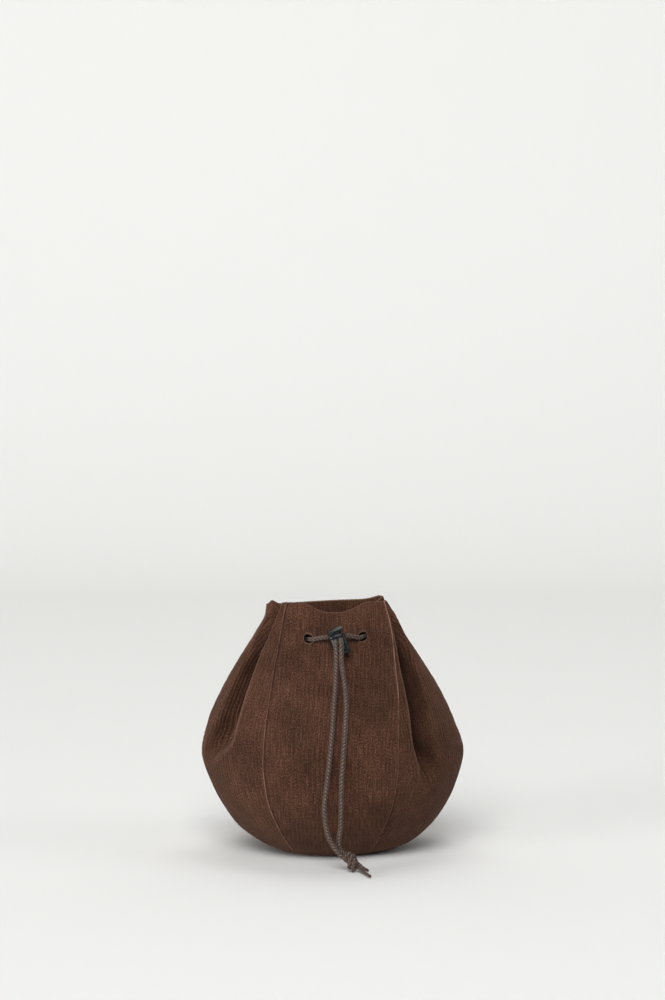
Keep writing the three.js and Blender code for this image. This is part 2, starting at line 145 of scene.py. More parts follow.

# The gores in order round the bag. side: -1 left, 1 right, 0 for the flat front and back. face: -1 front,
# 1 back. rim: rise of the top edge at the first seam, beside it, beside the last seam and at the last seam.
# dip: centre, half width and sharpness of the dip in a flat gore's rim.
# fold: how far it goes in half way up and at the rim, and back half way up, and the height of its foot.
# roll: rise of the rim where the fold is out again. lap wear and highlight: how pale its lapped edge is
# drawn, partly wear and partly painted highlight, at even heights from the floor to the rim
FOLD_COLUMNS = ("in_mid", "in_rim", "back_mid", "foot")
GORES = [
    {"name": "front", "side": 0, "face": -1, "rim": (1.2, -6.2, -6.2, 1.6), "dip": (-1, 26, 1.35),
     "lap_wear_and_highlight": (1, 0.4, 0.7, 1.8, 1.8)},
    {"name": "front_right", "side": 1, "face": -1, "rim": (1.6, -12, -12, 0), "roll": 0,
     "fold": (12, 36, 38, 53)},
    {"name": "back_right", "side": 1, "face": 1, "rim": (0, -12, -12, 1.4), "roll": 0,
     "fold": (20, 34, 26, 60)},
    {"name": "back", "side": 0, "face": 1, "rim": (1.4, -1.4, -4.2, -4.2), "dip": (0, 38.5, 4)},
    {"name": "back_left", "side": -1, "face": 1, "rim": (-4.2, -12, -12, -2), "roll": 0,
     "fold": (20, 35, 26, 60)},
    {"name": "front_left", "side": -1, "face": -1, "rim": (-2, -10, -10, 1.2), "roll": 2.4,
     "fold": (12, 34, 20, 62), "lap_wear_and_highlight": (1.1, 1.1, 0.8, 0.25, 0.5)},
]

# Where each side gore's fold runs, as shares of its width from the front or back seam to the side
# ridge, a row for each height: its crest, its valley, and where it is out again
FOLD_LOWEST = 70
FOLD_STEP = 20
FOLD_GORES = ("front_right", "back_right", "back_left", "front_left")
CRESTS = np.array([
    (0.19, 0.36, 0.30, 0.56),
    (0.132, 0.30, 0.24, 0.32),
    (0.112, 0.27, 0.21, 0.305),
    (0.083, 0.26, 0.20, 0.31),
    (0.06, 0.25, 0.19, 0.312),
    (0.038, 0.24, 0.18, 0.245),
    (0.015, 0.22, 0.16, 0.12),
])
VALLEYS = np.array([
    (0.28, 0.50, 0.42, 0.70),
    (0.22, 0.44, 0.38, 0.50),
    (0.22, 0.42, 0.36, 0.47),
    (0.21, 0.42, 0.36, 0.47),
    (0.22, 0.44, 0.40, 0.47),
    (0.28, 0.50, 0.46, 0.42),
    (0.36, 0.52, 0.48, 0.31),
])
OUTS = np.array([
    (0.43, 0.78, 0.70, 0.88),
    (0.38, 0.70, 0.62, 0.74),
    (0.40, 0.68, 0.60, 0.68),
    (0.41, 0.70, 0.62, 0.68),
    (0.44, 0.74, 0.68, 0.67),
    (0.58, 0.88, 0.84, 0.62),
    (0.80, 1.00, 1.00, 0.50),
])
FRONT_FLANK_BENDS = (0.2, 0.4)  # shares of a fold's front flank that bend, at its crest and its valley
REAR_FLANK_BENDS = (0.25, 0.4)  # and of its rear flank, at its valley and where it is out again
FOLD_GROWTH = 36  # height over which a fold grows from its foot
FOLD_HEIGHTS = (132, 186)  # heights between which it goes over to its depth at the rim
ROLL_WIDTH = 0.16
BULGE_HANDLE = 0.36  # how full a side gore is: handles of its curve, as shares of its chord
RIM_HEIGHT = 189
RIM_RISE_FROM = 140
WALL = 1.5
SEAM_GAP = 0.1
SEAM_INSET_WIDTH = 1.5
TWIST_DEGREES = 4.5  # turn of the neck about the bag's axis
TWIST_HEIGHTS = (75, 175)
SLOPE_STEP = 0.004

# Mesh of a gore: closer columns at the seams, rows of even length, closer in the band of holes
SEAM_COLUMNS = (0, 0.0025, 0.006, 0.0105, 0.016)
FLAT_COLUMNS = 178
SIDE_COLUMNS = 216
LENGTH_SAMPLES = 4000  # points on the line that row lengths are measured along
ROW_STEP = 2.1
HOLE_ROW_STEP = 1.15
HOLE_BAND = (44, 18)  # distances of the closer rows from the cut edge
RIM_ROWS = (0.9, 0.4, 0.12, 0)  # distances of the last rows from the cut edge
SHARP_DEGREES = 50  # edges that bend more than this show as sharp

# Lapped seams: a gore's last edge lies on the next gore's first edge
LAP_RISE = 0.45
LAP_WIDTH = 5.0
TUCK_DEPTH = 0.45
TUCK_WIDTH = 3.0

# Ribs pressed into the suede. Pairs of lengths are across and along the ribs
RIB_PITCH = 3.3
RIB_HEIGHT = 0.15
FOLD_RIBS = 0.9  # how much stronger the ribs are in the folds
RIB_WANDER = 0.9
RIB_WANDER_LENGTHS = (9, 70)
RIB_BREAK = 0.3  # how far the ribs fade in places, as a share of their height
RIB_BREAK_LENGTHS = (9, 45)

# Nap and colour of the suede: specks and streaks are coarser than real fibres, so that they show
SPECK_SIZE = (0.5, 1.2)
SPECK_HEIGHT = 0.3
STREAK_SIZE = (0.6, 12.0)
STREAK_SHARE = 0.5  # how much the streaks and the ribs add to the specks
RIB_SHARE = 0.035
NAP_PATCH = 34
HUE_PATCH = 22
SUEDE_TONES = ((0.56, "#2b1910"), (0.75, "#3d271d"), (0.94, "#5e3f31"))
OLIVE_TINT = "#e3ead0"
SHEEN_TINT = "#a5806c"
# Mark colours: the cut edge's own pale core, painted shade and shadow for the dark mark, and partly wear,
# partly painted highlight for the pale edge mark
MARK_TONES = {"cut_edge": "#624a3d", "painted_shade": "#1f140f", "wear_and_highlight_edge": "#a88273"}
LATTICE = 64  # points after which the seeded noise repeats
NOISE_SEEDS = {"wander": 11, "break": 12, "lap": 13}

# Marks on the suede: pale lapped edges and folds' crests, partly wear and partly painted highlight, a painted
# shadow line beside the laps, painted shade deep in the folds near the rim, and the cut edge's pale core
CUT_EDGE_WIDTH = 0.35
# Pale lapped edges, by height: partly the worn cut edge, partly painted highlight where the raised lip
# catches the light
LAP_WEAR_AND_HIGHLIGHT = (0.8, 0.8, 0.6, 0.6, 0.8)
LAP_WEAR_AND_HIGHLIGHT_MOST = 0.5
LAP_WEAR_AND_HIGHLIGHT_WIDTH = 0.32
LAP_WEAR_AND_HIGHLIGHT_LENGTH = 4
LAP_UNEVEN = 0.45
LAP_SHADOW_WIDTH = 1.1  # of the painted shadow line beside a lapped edge
# Painted shadow beside the tucked edge: how dark it is drawn
LAP_SHADOW_SHADE = 0.45
# Painted shade deep in the folds near the rim, where they lie in shadow
PAINTED_FOLD_SHADE = 0.6
DEEP_SHARES = (0.05, 0.5)  # shares of a fold's depth between which the painted shade grows
DEEP_HEIGHTS = (135, 160)  # heights between which that begins to show
# Pale line along a fold's crest: partly wear, partly painted highlight
CREST_WEAR_AND_HIGHLIGHT = 0.15
CREST_WEAR_AND_HIGHLIGHT_WIDTH = 1.3

# The slow dents of soft leather
DENT_HEIGHT = 0.4
DENT_LENGTHS = (55, 140)
DENT_WAVES = 9
DENT_SEED = 4
RELIEF_HEIGHTS = (3, 16)  # heights between which dents, laps and ribs grow from the flat base

# Punched holes: a point on each punch's line and its direction. At a fold it goes through both flanks
HOLE_DIAMETER = 7.8
HOLE_PUNCHES = [
    {"at": (-17.7, -41.2, 162.3), "along": (0.08, 1, -0.55)},
    {"at": (22.9, -39.7, 164.7), "along": (0.2, 1, -0.55)},
    {"at": (-23.6, 40.5, 163.4), "along": (0.2, -1, -0.55)},
    {"at": (17.2, 43.5, 165.6), "along": (0.08, -1, -0.55)},
    {"at": (-35.6, -17.5, 162.9), "along": (-0.12, 1, 0)},
    {"at": (-37.8, 17.0, 162.8), "along": (-0.05, 1, 0)},
    {"at": (34.2, 18.5, 165.9), "along": (0.2, -1, 0)},
    {"at": (36.2, -17.0, 166.0), "along": (0, 1, 0)},
]
PUNCH_REACH = 14  # how far a punch goes either way from its point
PUNCH_MISS = HOLE_DIAMETER / 4  # how far off a punch's line a gore's nearest point may lie
HOLE_BLOCK_SHARE = 0.9  # size of the block of cells that opens, as a share of the hole
HOLE_LEAST_CELLS = 2
HOLE_FADE = 3  # block sizes from the centre at which the grid is still again
TINY = 1e-6  # least distance to divide by, at a hole's centre

# Spring lock, drawn about the middle of its cord hole with the button up, then tilted
LOCK_CENTRE = np.array([4.2, -56.4, 164.3])
LOCK_TILT_DEGREES = 20
LOCK_LEAN_DEGREES = 12
LOCK_DEPTH_SHARE = 0.8
LOCK_SQUARENESS = 3.2  # power of the plan's outline, 2 for an oval
SLOPE_LEVELS = (2.4, 3.0, 5.3, 8.8)
SLOPES = (0.0, 0.1, 0.1, 0.38)  # how steeply the lock falls to the front at those levels
LOCK_POINTS = 96
CHANNEL_HALF_WIDTH = 4.45
CHANNEL_HALF_HEIGHT = 2.35
CHANNEL_CORNER = 2.2
CHANNEL_CORNER_POINTS = 10
CHANNEL_REACH = 12  # how far the cutter goes to the front and to the back
CUT_SHARP_DEGREES = 35
BUTTON_TRAVEL = 2.0
BARREL_PROFILE = [
    (2.6, -11.7), (4.0, -11.62), (4.9, -11.3), (5.5, -10.7), (5.85, -9.9), (6.05, -8.8), (6.18, -6.5),
    (6.2, -2.0), (6.2, 1.5), (6.22, 1.75), (6.32, 1.95), (6.5, 2.15), (6.58, 2.3), (6.6, 2.45),
    (6.6, 2.6), (6.6, 3.8), (6.59, 3.94), (6.56, 4.01), (6.48, 4.05), (6.42, 4.06), (6.25, 4.06),
    (6.15, 4.02), (6.12, 3.9), (6.12, 3.3), (6.0, 3.15), (5.5, 3.1), (5.4, 3.0), (5.4, -9.4),
    (5.2, -9.8), (2.0, -9.8),
]
BUTTON_PROFILE = [
    (2.0, -7.4), (4.9, -7.4), (5.1, -7.2), (5.1, 3.0), (5.0, 3.2), (4.6, 3.35), (4.5, 3.5), (4.3, 3.9),
    (3.95, 4.3), (3.9, 4.5), (3.9, 5.05), (4.1, 5.25), (5.4, 5.3), (5.62, 5.4), (5.72, 5.65), (5.74, 5.9),
    (5.88, 8.5), (5.9, 8.65), (5.87, 8.74), (5.8, 8.79), (5.7, 8.8), (5.5, 8.8), (3.6, 8.8), (1.8, 8.8),
]
ACETAL_TONES = ((0.0, "#080d0e"), (1.0, "#12191a"))
SPARK_SIZE = 0.5
SPARK_HEIGHT = 0.03
SCUFF_SIZE = 4

# Backdrop sweep: front edge of the floor, where it begins to turn up, radius of the turn, and the wall
SWEEP_FRONT = -6000.0
SWEEP_BEND = 2200.0
SWEEP_RADIUS = 1500.0
SWEEP_BEND_POINTS = 24
SWEEP_TOP = 6000.0
SWEEP_HALF_WIDTH = 7000.0
PAPER_GREY = "#e6e6e4"

# Studio light: places and sizes in metres, powers in watts
LAMP_AIM = (0, 0, 0.1)
ROOM_STRENGTH = 0.13
SOFTBOXES = {
    "softbox_front": {"place": (-0.7, -6.0, 5.0), "size": 4.5, "power": 540},
    "softbox_low_left": {"place": (-4.5, -3.5, 0.6), "size": 2.0, "power": 205},
    "softbox_side_right": {"place": (5.5, -1.2, 2.5), "size": 3.0, "power": 50},
    "softbox_back": {"place": (0, 3.0, 5.5), "size": 4.0, "power": 120},
}


def linear(colour):
    """sRGB hex as linear RGBA: each channel through the sRGB curve."""
    srgb = np.array([int(colour[i:i + 2], 16) for i in (1, 3, 5)]) / 255
    rgb = np.where(srgb <= 0.04045, srgb / 12.92, ((srgb + 0.055) / 1.055) ** 2.4)
    return (*rgb.tolist(), 1.0)


def node(tree, kind, settings=None, inputs=None, stops=()):
    """Adds a shader node with its properties, its inputs and its rising colour stops.

    An input is a value, or another node, whose main output is linked to it.
    """
    made = tree.nodes.new("ShaderNode" + kind)
    for name, value in (settings or {}).items():
        setattr(made, name, value)
    for name, value in (inputs or {}).items():
        if isinstance(value, bpy.types.Node):
            tree.links.new(value.outputs[MAIN_OUTPUTS.get(value.bl_idname, 0)], made.inputs[name])
        else:
            made.inputs[name].default_value = value
    for position, _ in stops[1:-1]:
        made.color_ramp.elements.new(position)
    for i, (position, colour) in enumerate(stops):
        made.color_ramp.elements[i].position = position
        made.color_ramp.elements[i].color = linear(colour)
    return made


def start_material(name, even_values):
    """A material, its node tree and its shader, which gets the values that are the same all over."""
    made = bpy.data.materials.new(name)
    made.use_nodes = True
    shader = made.node_tree.nodes["Principled BSDF"]
    for socket, value in even_values.items():
        shader.inputs[socket].default_value = value
    return made, made.node_tree, shader


def smoothstep(x, low, high):
    """Ramp from 0 at low to 1 at high, level at both: three t squared less two t cubed."""
    t = np.clip((x - low) / (high - low), 0, 1)
    return t * t * (3 - 2 * t)


def lerp(a, b, t):
    """Straight blend from a at t = 0 to b at t = 1."""
    return a + (b - a) * t


def hermite(start, end, leave, enter, t):
    """Cubic from start at t = 0 to end at t = 1, with slope leave at the first and enter at the last."""
    s = 1 - t
    return start * (1 + 2 * t) * s * s + leave * t * s * s + end * t * t * (3 - 2 * t) - enter * t * t * s


def unit(vectors):
    """Vectors divided by their lengths."""
    return vectors / np.linalg.norm(vectors, axis=-1, keepdims=True)


def run_lengths(points, axis=0):
    """Lengths along lines of points, added up from 0 at each line's first point."""
    steps = np.linalg.norm(np.diff(points, axis=axis), axis=-1)
    return np.insert(np.cumsum(steps, axis=axis), 0, 0, axis=axis)


def tube_faces(rings, around):
    """Faces of a closed tube: quads between its rings, and fans to two poles that follow the last ring."""
    index = np.arange(rings * around).reshape(rings, around)
    beside = np.roll(index, -1, axis=1)
    wall = np.stack([index[:-1], beside[:-1], beside[1:], index[1:]], axis=-1).reshape(-1, 4)
    start = np.stack([beside[0], index[0], np.full(around, index.size)], axis=-1)
    end = np.stack([index[-1], beside[-1], np.full(around, index.size + 1)], axis=-1)
    return [wall, start, end]


def piece(name, points, faces, material, flat=None, values=None):
    """Mesh object from points in millimetres and a list of face arrays, with smooth faces and sharp edges.

    flat gives a UV map in millimetres and values named numbers for each point.
    """
    mesh = bpy.data.meshes.new(name)
    mesh.from_pydata((points * MM).tolist(), [], [face for group in faces for face in group.tolist()])
    corner_points = np.empty(len(mesh.loops), np.int32)
    mesh.loops.foreach_get("vertex_index", corner_points)
    if flat is not None:
        layer = mesh.uv_layers.new(name="flat_cut")
        layer.data.foreach_set("uv", flat[corner_points].astype(np.float32).ravel())
    for key, numbers in (values or {}).items():
        layer = mesh.attributes.new(key, "FLOAT", "POINT")
        layer.data.foreach_set("value", numbers.astype(np.float32).ravel())
    mesh.polygons.foreach_set("use_smooth", np.ones(len(mesh.polygons), bool))
    mesh.set_sharp_from_angle(angle=np.radians(SHARP_DEGREES))
    mesh.materials.append(material)
    mesh.update()
    made = bpy.data.objects.new(name, mesh)
    bpy.context.scene.collection.objects.link(made)
    return made


def stand_for(made, body, slot, *nodes):
    """The piece rides on a body and stands for CAD nodes, which it hides. slot is not used."""
    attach(made, body)
    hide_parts(*nodes)
    return made


def place_camera():
    """Camera with the lens that the focal length in pixels gives, level but for its dip."""
    camera = bpy.data.cameras.new("camera")
    camera.sensor_fit = "VERTICAL"
    camera.sensor_height = SENSOR_HEIGHT
    camera.lens = SENSOR_HEIGHT * FOCAL_PIXELS / IMAGE_HEIGHT_PIXELS
    stand = bpy.data.objects.new("camera", camera)
    stand.location = CAMERA_PLACE
    stand.rotation_euler = (np.radians(90 - CAMERA_DIP_DEGREES), 0, 0)
    bpy.context.scene.collection.objects.link(stand)
    bpy.context.scene.camera = stand


def braided_polyester():
    """Braided polyester cord: matt round yarns, so it shows soft rows of slanted dashes, with dark gaps of
    painted shade and crowns of painted highlight.

    Flecks of lighter and darker fibres are drawn coarser than real ones, so that they show.
    """
    made, tree, shader = start_material("braided_polyester_cord", {
        "Roughness": 0.72, "Specular IOR Level": 0.3, "Sheen Weight": 0.08, "Sheen Roughness": 0.5})
    height = node(tree, "Attribute", {"attribute_name": "yarn"})
    # Colour by yarn height: painted shade in the gaps between yarns, painted highlight on their crowns
    tones = node(tree, "ValToRGB", inputs={"Fac": height}, stops=CORD_PAINTED_SHADE_TONES)
    place = node(tree, "TexCoord")
    fibres = node(tree, "TexNoise", inputs={
        "Vector": place, "Scale": 1 / (FIBRE_FLECK * MM), "Detail": 3.0})
    flecks = node(tree, "MapRange", inputs={
        "Value": fibres, "From Min": 0.3, "From Max": 0.7, "To Min": 0.65, "To Max": 1.3})
    colour = node(tree, "VectorMath", {"operation": "SCALE"}, {0: tones, "Scale": flecks})
    tree.links.new(colour.outputs["Vector"], shader.inputs["Base Color"])
    bump = node(tree, "Bump", inputs={"Height": fibres, "Strength": 0.35, "Distance": FIBRE_HEIGHT * MM})
    tree.links.new(bump.outputs["Normal"], shader.inputs["Normal"])
    return made


def cord_line(route):
    """Centripetal Catmull-Rom curve through the route, resampled to even steps of CORD_RING_STEP.

    Each span is blended from its four nearest points, with knots spaced by the root of the distance.
    """
    points = np.array(route, float)
    points = np.vstack([2 * points[0] - points[1], points, 2 * points[-1] - points[-2]])
    gaps = np.sqrt(np.linalg.norm(np.diff(points, axis=0), axis=1))
    first, middle, last = (gaps[i:len(gaps) - 2 + i, None] for i in range(3))
    a, b, c, d = (points[i:len(points) - 3 + i] for i in range(4))
    leave = ((b - a) / first - (c - a) / (first + middle) + (c - b) / middle) * middle
    enter = ((c - b) / middle - (d - b) / (middle + last) + (d - c) / last) * middle
    t = np.linspace(0, 1, CORD_SPAN_STEPS, endpoint=False)[:, None, None]
    spans = hermite(b, c, leave, enter, t)
    fine = np.vstack([spans.transpose(1, 0, 2).reshape(-1, 3), points[-2]])
    run = run_lengths(fine)
    even = np.linspace(0, run[-1], int(run[-1] / CORD_RING_STEP) + 1)
    return np.stack([np.interp(even, run, fine[:, i]) for i in range(3)], axis=1), even


def clear_direction(tangents):
    """Of many directions spread over a half sphere, the one that stays furthest from every tangent.

    The directions lie on a spiral at even heights, each turned on by the golden angle.
    """
    k = np.arange(DIRECTIONS_TRIED)
    height = (k + 0.5) / DIRECTIONS_TRIED
    turn = k * np.pi * (3 - np.sqrt(5))
    flat = np.sqrt(1 - height ** 2)
    spread = np.stack([flat * np.cos(turn), flat * np.sin(turn), height], axis=1)
    nearest = np.abs(spread @ tangents.T).max(axis=1)
    return spread[nearest.argmin()]


def yarn_height(turn, along):
    """Height of the braid, 0 between yarns and 1 on a crown.

    Two sets of yarns wind round as lines of constant phase, each over two of the other set and under two,
    which gives rows of slanted dashes. A yarn is round across and dips where it goes under.
    """
    right = BRAID_YARNS * turn / (2 * np.pi) + BRAID_YARNS * along / BRAID_LEAD
    left = BRAID_YARNS * turn / (2 * np.pi) - BRAID_YARNS * along / BRAID_LEAD
    repeat = 2 * YARN_FLOAT
    right_on_top = (np.floor(right) + np.floor(left)) % repeat < YARN_FLOAT
    across = np.where(right_on_top, right, left) % 1
    along_right = (left + np.floor(right)) % repeat
    along_left = (right + np.floor(left)) % repeat - YARN_FLOAT
    dash = np.where(right_on_top, along_right, along_left) / YARN_FLOAT
    return np.sin(np.pi * across) ** YARN_ROUNDNESS * (YARN_DIP + (1 - YARN_DIP) * np.sin(np.pi * dash))


def cord_tube(route, diameter, end_diameter=None, roll=0.0):
    """Points, faces, yarn heights and middle line of a braided tube: a ring carried along the route's line.

    The ring's radius drops by BRAID_DEPTH between yarns, goes over to half the end diameter in the last
    THIN_LENGTH, and shrinks over CORD_END_ROUND at each end, which a fan of triangles closes. The braid is
    turned about the line by roll, in degrees.
    """
    line, along = cord_line(route)
    tangents = unit(np.gradient(line, axis=0))
    sideways = unit(np.cross(tangents, clear_direction(tangents)))
    upward = np.cross(tangents, sideways)
    turn = np.linspace(0, 2 * np.pi, CORD_RING_POINTS, endpoint=False)
    height = yarn_height(turn[None, :] + np.radians(roll), along[:, None])
    to_end = np.minimum(along, along[-1] - along)[:, None]
    rounding = CORD_END_ROUND * (1 - np.sqrt(1 - (1 - np.clip(to_end / CORD_END_ROUND, 0, 1)) ** 2))
    thinning = smoothstep(along[:, None], along[-1] - THIN_LENGTH, along[-1])
    thickness = lerp(diameter, end_diameter or diameter, thinning)
    radius = (thickness / 2 - BRAID_DEPTH * (1 - height) - rounding)[..., None]
    ring = np.cos(turn)[None, :, None] * sideways[:, None] + np.sin(turn)[None, :, None] * upward[:, None]
    points = np.vstack([(line[:, None] + radius * ring).reshape(-1, 3), line[:1], line[-1:]])
    yarn = np.concatenate([height.ravel(), [0, 0]])
    return points, tube_faces(len(line), CORD_RING_POINTS), yarn, line


def join_tubes(tubes):
    """One set of points, faces and yarn heights from several tubes, with the face numbers moved along."""
    counts = np.cumsum([0] + [len(tube[0]) for tube in tubes])
    points = np.vstack([tube[0] for tube in tubes])
    faces = [group + count for tube, count in zip(tubes, counts) for group in tube[1]]
    return points, faces, np.concatenate([tube[2] for tube in tubes])


def knot_strand(strand):
    """Route of one cord in the knot: through the core, round it in a slanted wrap, and through to its tip.

    The wrap is a helix of KNOT_WRAP_RADIUS about the knot's axis that runs back by one pitch a turn.
    """
    axis = unit(KNOT_AXIS)
    up = unit(np.array([0, 0, 1]) - axis[2] * axis)
    side = np.cross(axis, up)
    turn_share = np.linspace(0, 1, KNOT_WRAP_POINTS)
    angle = np.radians(strand["start"] + KNOT_WRAP_TURN_DEGREES * turn_share)
    x = strand["shift"] + KNOT_WRAP_PITCH * (0.5 - turn_share) + KNOT_WRAP_SLANT * np.cos(angle)
    wrap = np.stack([x, KNOT_WRAP_RADIUS * np.cos(angle), KNOT_WRAP_RADIUS * np.sin(angle)], axis=1)
    tuck = ((x[-1] - KNOT_TUCK_BACK, KNOT_TUCK_START_SHARE), *KNOT_TUCK)
    core_y, core_z = strand["core"]
    inside, back_through = (np.array([(along, share * core_y, share * core_z) for along, share in stretch])
                            for stretch in (KNOT_CORE, tuck))
    local = np.vstack([inside, wrap, back_through])
    world = KNOT_CENTRE + local @ np.stack([axis, up, side])
    return np.vstack([world, strand["tip"]])


def make_cords():
    """The loop, both tails and the knot, each a braided tube along its route."""
    braid = braided_polyester()
    points, faces, yarn, _ = cord_tube(LOOP_ROUTE, CORD_DIAMETER)
    loop = piece("drawstring_loop", points, faces, braid, values={"yarn": yarn})
    stand_for(loop, "pouch", "cord", "cord_loop")
    tubes = [cord_tube(knot_strand(strand), KNOT_CORD_DIAMETER, CUT_END_DIAMETER) for strand in KNOT_STRANDS]
    points, faces, yarn = join_tubes(tubes)
    knot = piece("drawstring_knot", points, faces, braid, values={"yarn": yarn})
    stand_for(knot, "pouch", "cord", "cord_knot")
    for side, route in (("left", TAIL_LEFT_ROUTE), ("right", TAIL_RIGHT_ROUTE)):
        points, faces, yarn, line = cord_tube(route, CORD_DIAMETER, roll=TAIL_ROLL_DEGREES[side])
        tail = piece(f"drawstring_tail_{side}", points, faces, braid, values={"yarn": yarn})
        stand_for(tail, "pouch", "cord", f"cord_tail_{side}")


def smooth_rows(table, place):
    """Rows of a table at fractional row numbers: a monotone cubic through evenly spaced rows.

    The slope at a row is the harmonic mean of the steps on both sides, or none where they change sign.
    """
    steps = np.diff(table, axis=0)
    product = steps[:-1] * steps[1:]
    total = np.where(product > 0, steps[:-1] + steps[1:], 1)
    slopes = np.vstack([steps[:1], np.where(product > 0, 2 * product / total, 0), steps[-1:]])
    i = np.clip(np.floor(place).astype(int), 0, len(table) - 2)
    return hermite(table[i], table[i + 1], slopes[i], slopes[i + 1], (place - i)[..., None])


def level(v):
    """Bag section at height parameter v, by the names of its columns."""
    return dict(zip(SECTION_COLUMNS, np.moveaxis(smooth_rows(SECTIONS, v), -1, 0)))


def fold_lines(gore, z):
    """Width shares of a fold's crest, its valley and where it is out again, at height z."""
    place = np.clip((z - FOLD_LOWEST) / FOLD_STEP, 0, len(CRESTS) - 1)
    column = FOLD_GORES.index(gore["name"])
    return [smooth_rows(table[:, column:column + 1], place)[..., 0] for table in (CRESTS, VALLEYS, OUTS)]


def bent_ramp(t, start, end):
    """Ramp from 0 at t = 0 to 1 at t = 1: straight, with a parabola over its start and end shares."""
    t = np.clip(t, 0, 1)
    rise = 1 - (start + end) / 2
    head = t * t / (2 * start)
    tail = rise - (1 - t) ** 2 / (2 * end)
    return np.where(t < start, head, np.where(t < 1 - end, t - start / 2, tail)) / rise


def fold_shape(gore, w, z):
    """Share of a fold's depth at a share w of its gore's width: in from the crest, out past the valley."""
    crest, valley, out = fold_lines(gore, z)
    front = bent_ramp((w - crest) / (valley - crest), *FRONT_FLANK_BENDS)
    rear = 1 - bent_ramp((w - valley) / (out - valley), *REAR_FLANK_BENDS)
    return np.where(w < valley, front, rear)


def fold_growth(gore, z):
    """Share of a fold's depth at height z: none at its foot, all of it FOLD_GROWTH higher."""
    foot = gore["fold"][FOLD_COLUMNS.index("foot")]
    return smoothstep(z, foot, foot + FOLD_GROWTH)


def fold_push(gore, z):
    """How far a side gore's fold goes in and back at height z.

    It grows from its foot. Towards the rim it goes over to its depth there, and no longer goes back.
    """
    fold = dict(zip(FOLD_COLUMNS, gore["fold"]))
    top = smoothstep(z, *FOLD_HEIGHTS)
    growth = fold_growth(gore, z)
    return growth * lerp(fold["in_mid"], fold["in_rim"], top), growth * fold["back_mid"] * (1 - top)


def from_front(gore, u):
    """Share of a side gore's width counted from its front or back seam."""
    return u if gore["side"] == -gore["face"] else 1 - u


def flat_plan(gore, row, u):
    """Front or back gore at one height: a parabola in plan, the share of its rim's dip, and no roll.

    The dip is a raised cosine about its centre, over its half width.
    """
    k = 2 * u - 1
    x = -gore["face"] * row["seam"] * k + row["sway"]
    y = gore["face"] * (row["front"] - (row["front"] - row["seam_depth"]) * k * k)
    centre, half_width, power = gore["dip"]
    away = np.clip(np.abs(x - centre) / half_width, 0, 1) ** power
    return x, y, 0.5 * (1 + np.cos(np.pi * away)), 0


def side_plan(gore, row, u):
    """Side gore at one height: its plan, the share of its rim's drop in the fold, and its rim's roll.

    The plan is a cubic Bezier curve from the front or back seam to the side ridge, which goes on from the
    parabola's slope and ends square to the ridge. The fold pushes it in and back.
    """
    w = from_front(gore, u)
    ridge = row["ridge_right"] if gore["side"] > 0 else row["ridge_left"]
    start = np.stack([row["seam"] + gore["side"] * row["sway"], row["seam_depth"]], -1)
    end = np.stack([ridge, np.zeros_like(ridge)], -1)
    handle = BULGE_HANDLE * np.linalg.norm(end - start, axis=-1, keepdims=True)
    slope = -2 * (row["front"] - row["seam_depth"]) / row["seam"]
    leave = start + handle * unit(np.stack([np.ones_like(slope), slope], -1))
    enter = end + handle * np.array([0.0, 1.0])
    t = w[..., None]
    s = 1 - t
    plan = s ** 3 * start + 3 * s * s * t * leave + 3 * s * t * t * enter + t ** 3 * end
    shape = fold_shape(gore, w, row["z"])
    inward, back = fold_push(gore, row["z"])
    x = gore["side"] * (plan[..., 0] - inward * shape)
    y = gore["face"] * (plan[..., 1] - back * shape)
    _, _, out = fold_lines(gore, row["z"])
    return x, y, 1 - (1 - shape) ** 2, gore["roll"] * np.exp(-((w - out) / ROLL_WIDTH) ** 2)


def gore_point(gore, u, v):
    """Outer face of a gore: u runs round the bag from seam to seam, v up the sections.

    The rim's rise is added to the plan at each height, and the neck is turned about the bag's axis.
    """
    row = level(v)
    x, y, drop, roll = side_plan(gore, row, u) if gore["side"] else flat_plan(gore, row, u)
    first, beside_first, beside_last, last = gore["rim"]
    rise = lerp(lerp(first, last, u), lerp(beside_first, beside_last, u), drop) + roll
    z = row["z"] + rise * smoothstep(row["z"], RIM_RISE_FROM, RIM_HEIGHT)
    turn = np.radians(TWIST_DEGREES) * smoothstep(row["z"], *TWIST_HEIGHTS)
    return np.stack([x * np.cos(turn) - y * np.sin(turn), x * np.sin(turn) + y * np.cos(turn), z], -1)


def gore_normal(gore, u, v):
    """Outward normal: the slope across the gore crossed with the slope up it."""
    across = (gore_point(gore, np.minimum(u + SLOPE_STEP, 1), v)
              - gore_point(gore, np.maximum(u - SLOPE_STEP, 0), v))
    up = (gore_point(gore, u, np.minimum(v + SLOPE_STEP, LAST_LEVEL))
          - gore_point(gore, u, np.maximum(v - SLOPE_STEP, 0)))
    return unit(np.cross(across, up))


def row_levels():
    """Height parameters of the mesh rows, by lengths up the middle of the front.

    The count of rows grows along the length by one over the wanted step, which is shorter in the band
    of holes, and the last rows close up at the cut rim.
    """
    fine = np.linspace(0, LAST_LEVEL, LENGTH_SAMPLES)
    run = run_lengths(gore_point(GORES[0], np.full_like(fine, 0.5), fine))
    top = run[-1]
    in_band = (run > top - HOLE_BAND[0]) & (run < top - HOLE_BAND[1])
    per_length = np.where(in_band, 1 / HOLE_ROW_STEP, 1 / ROW_STEP)
    count = np.concatenate([[0], np.cumsum(np.diff(run) * per_length[1:])])
    last = np.interp(top - 2 * RIM_ROWS[0], run, count)
    body = np.interp(np.linspace(0, last, int(last)), count, run)
    lengths = np.concatenate([body, top - np.array(RIM_ROWS)])
    return np.interp(lengths, run, fine), lengths


def gore_columns(gore):
    """Width shares of the mesh columns: close together at both seams, even between them."""
    seam = np.array(SEAM_COLUMNS)
    count = SIDE_COLUMNS if gore["side"] else FLAT_COLUMNS
    between = np.linspace(seam[-1], 1 - seam[-1], count)[1:-1]
    return np.concatenate([seam, between, 1 - seam[::-1]])


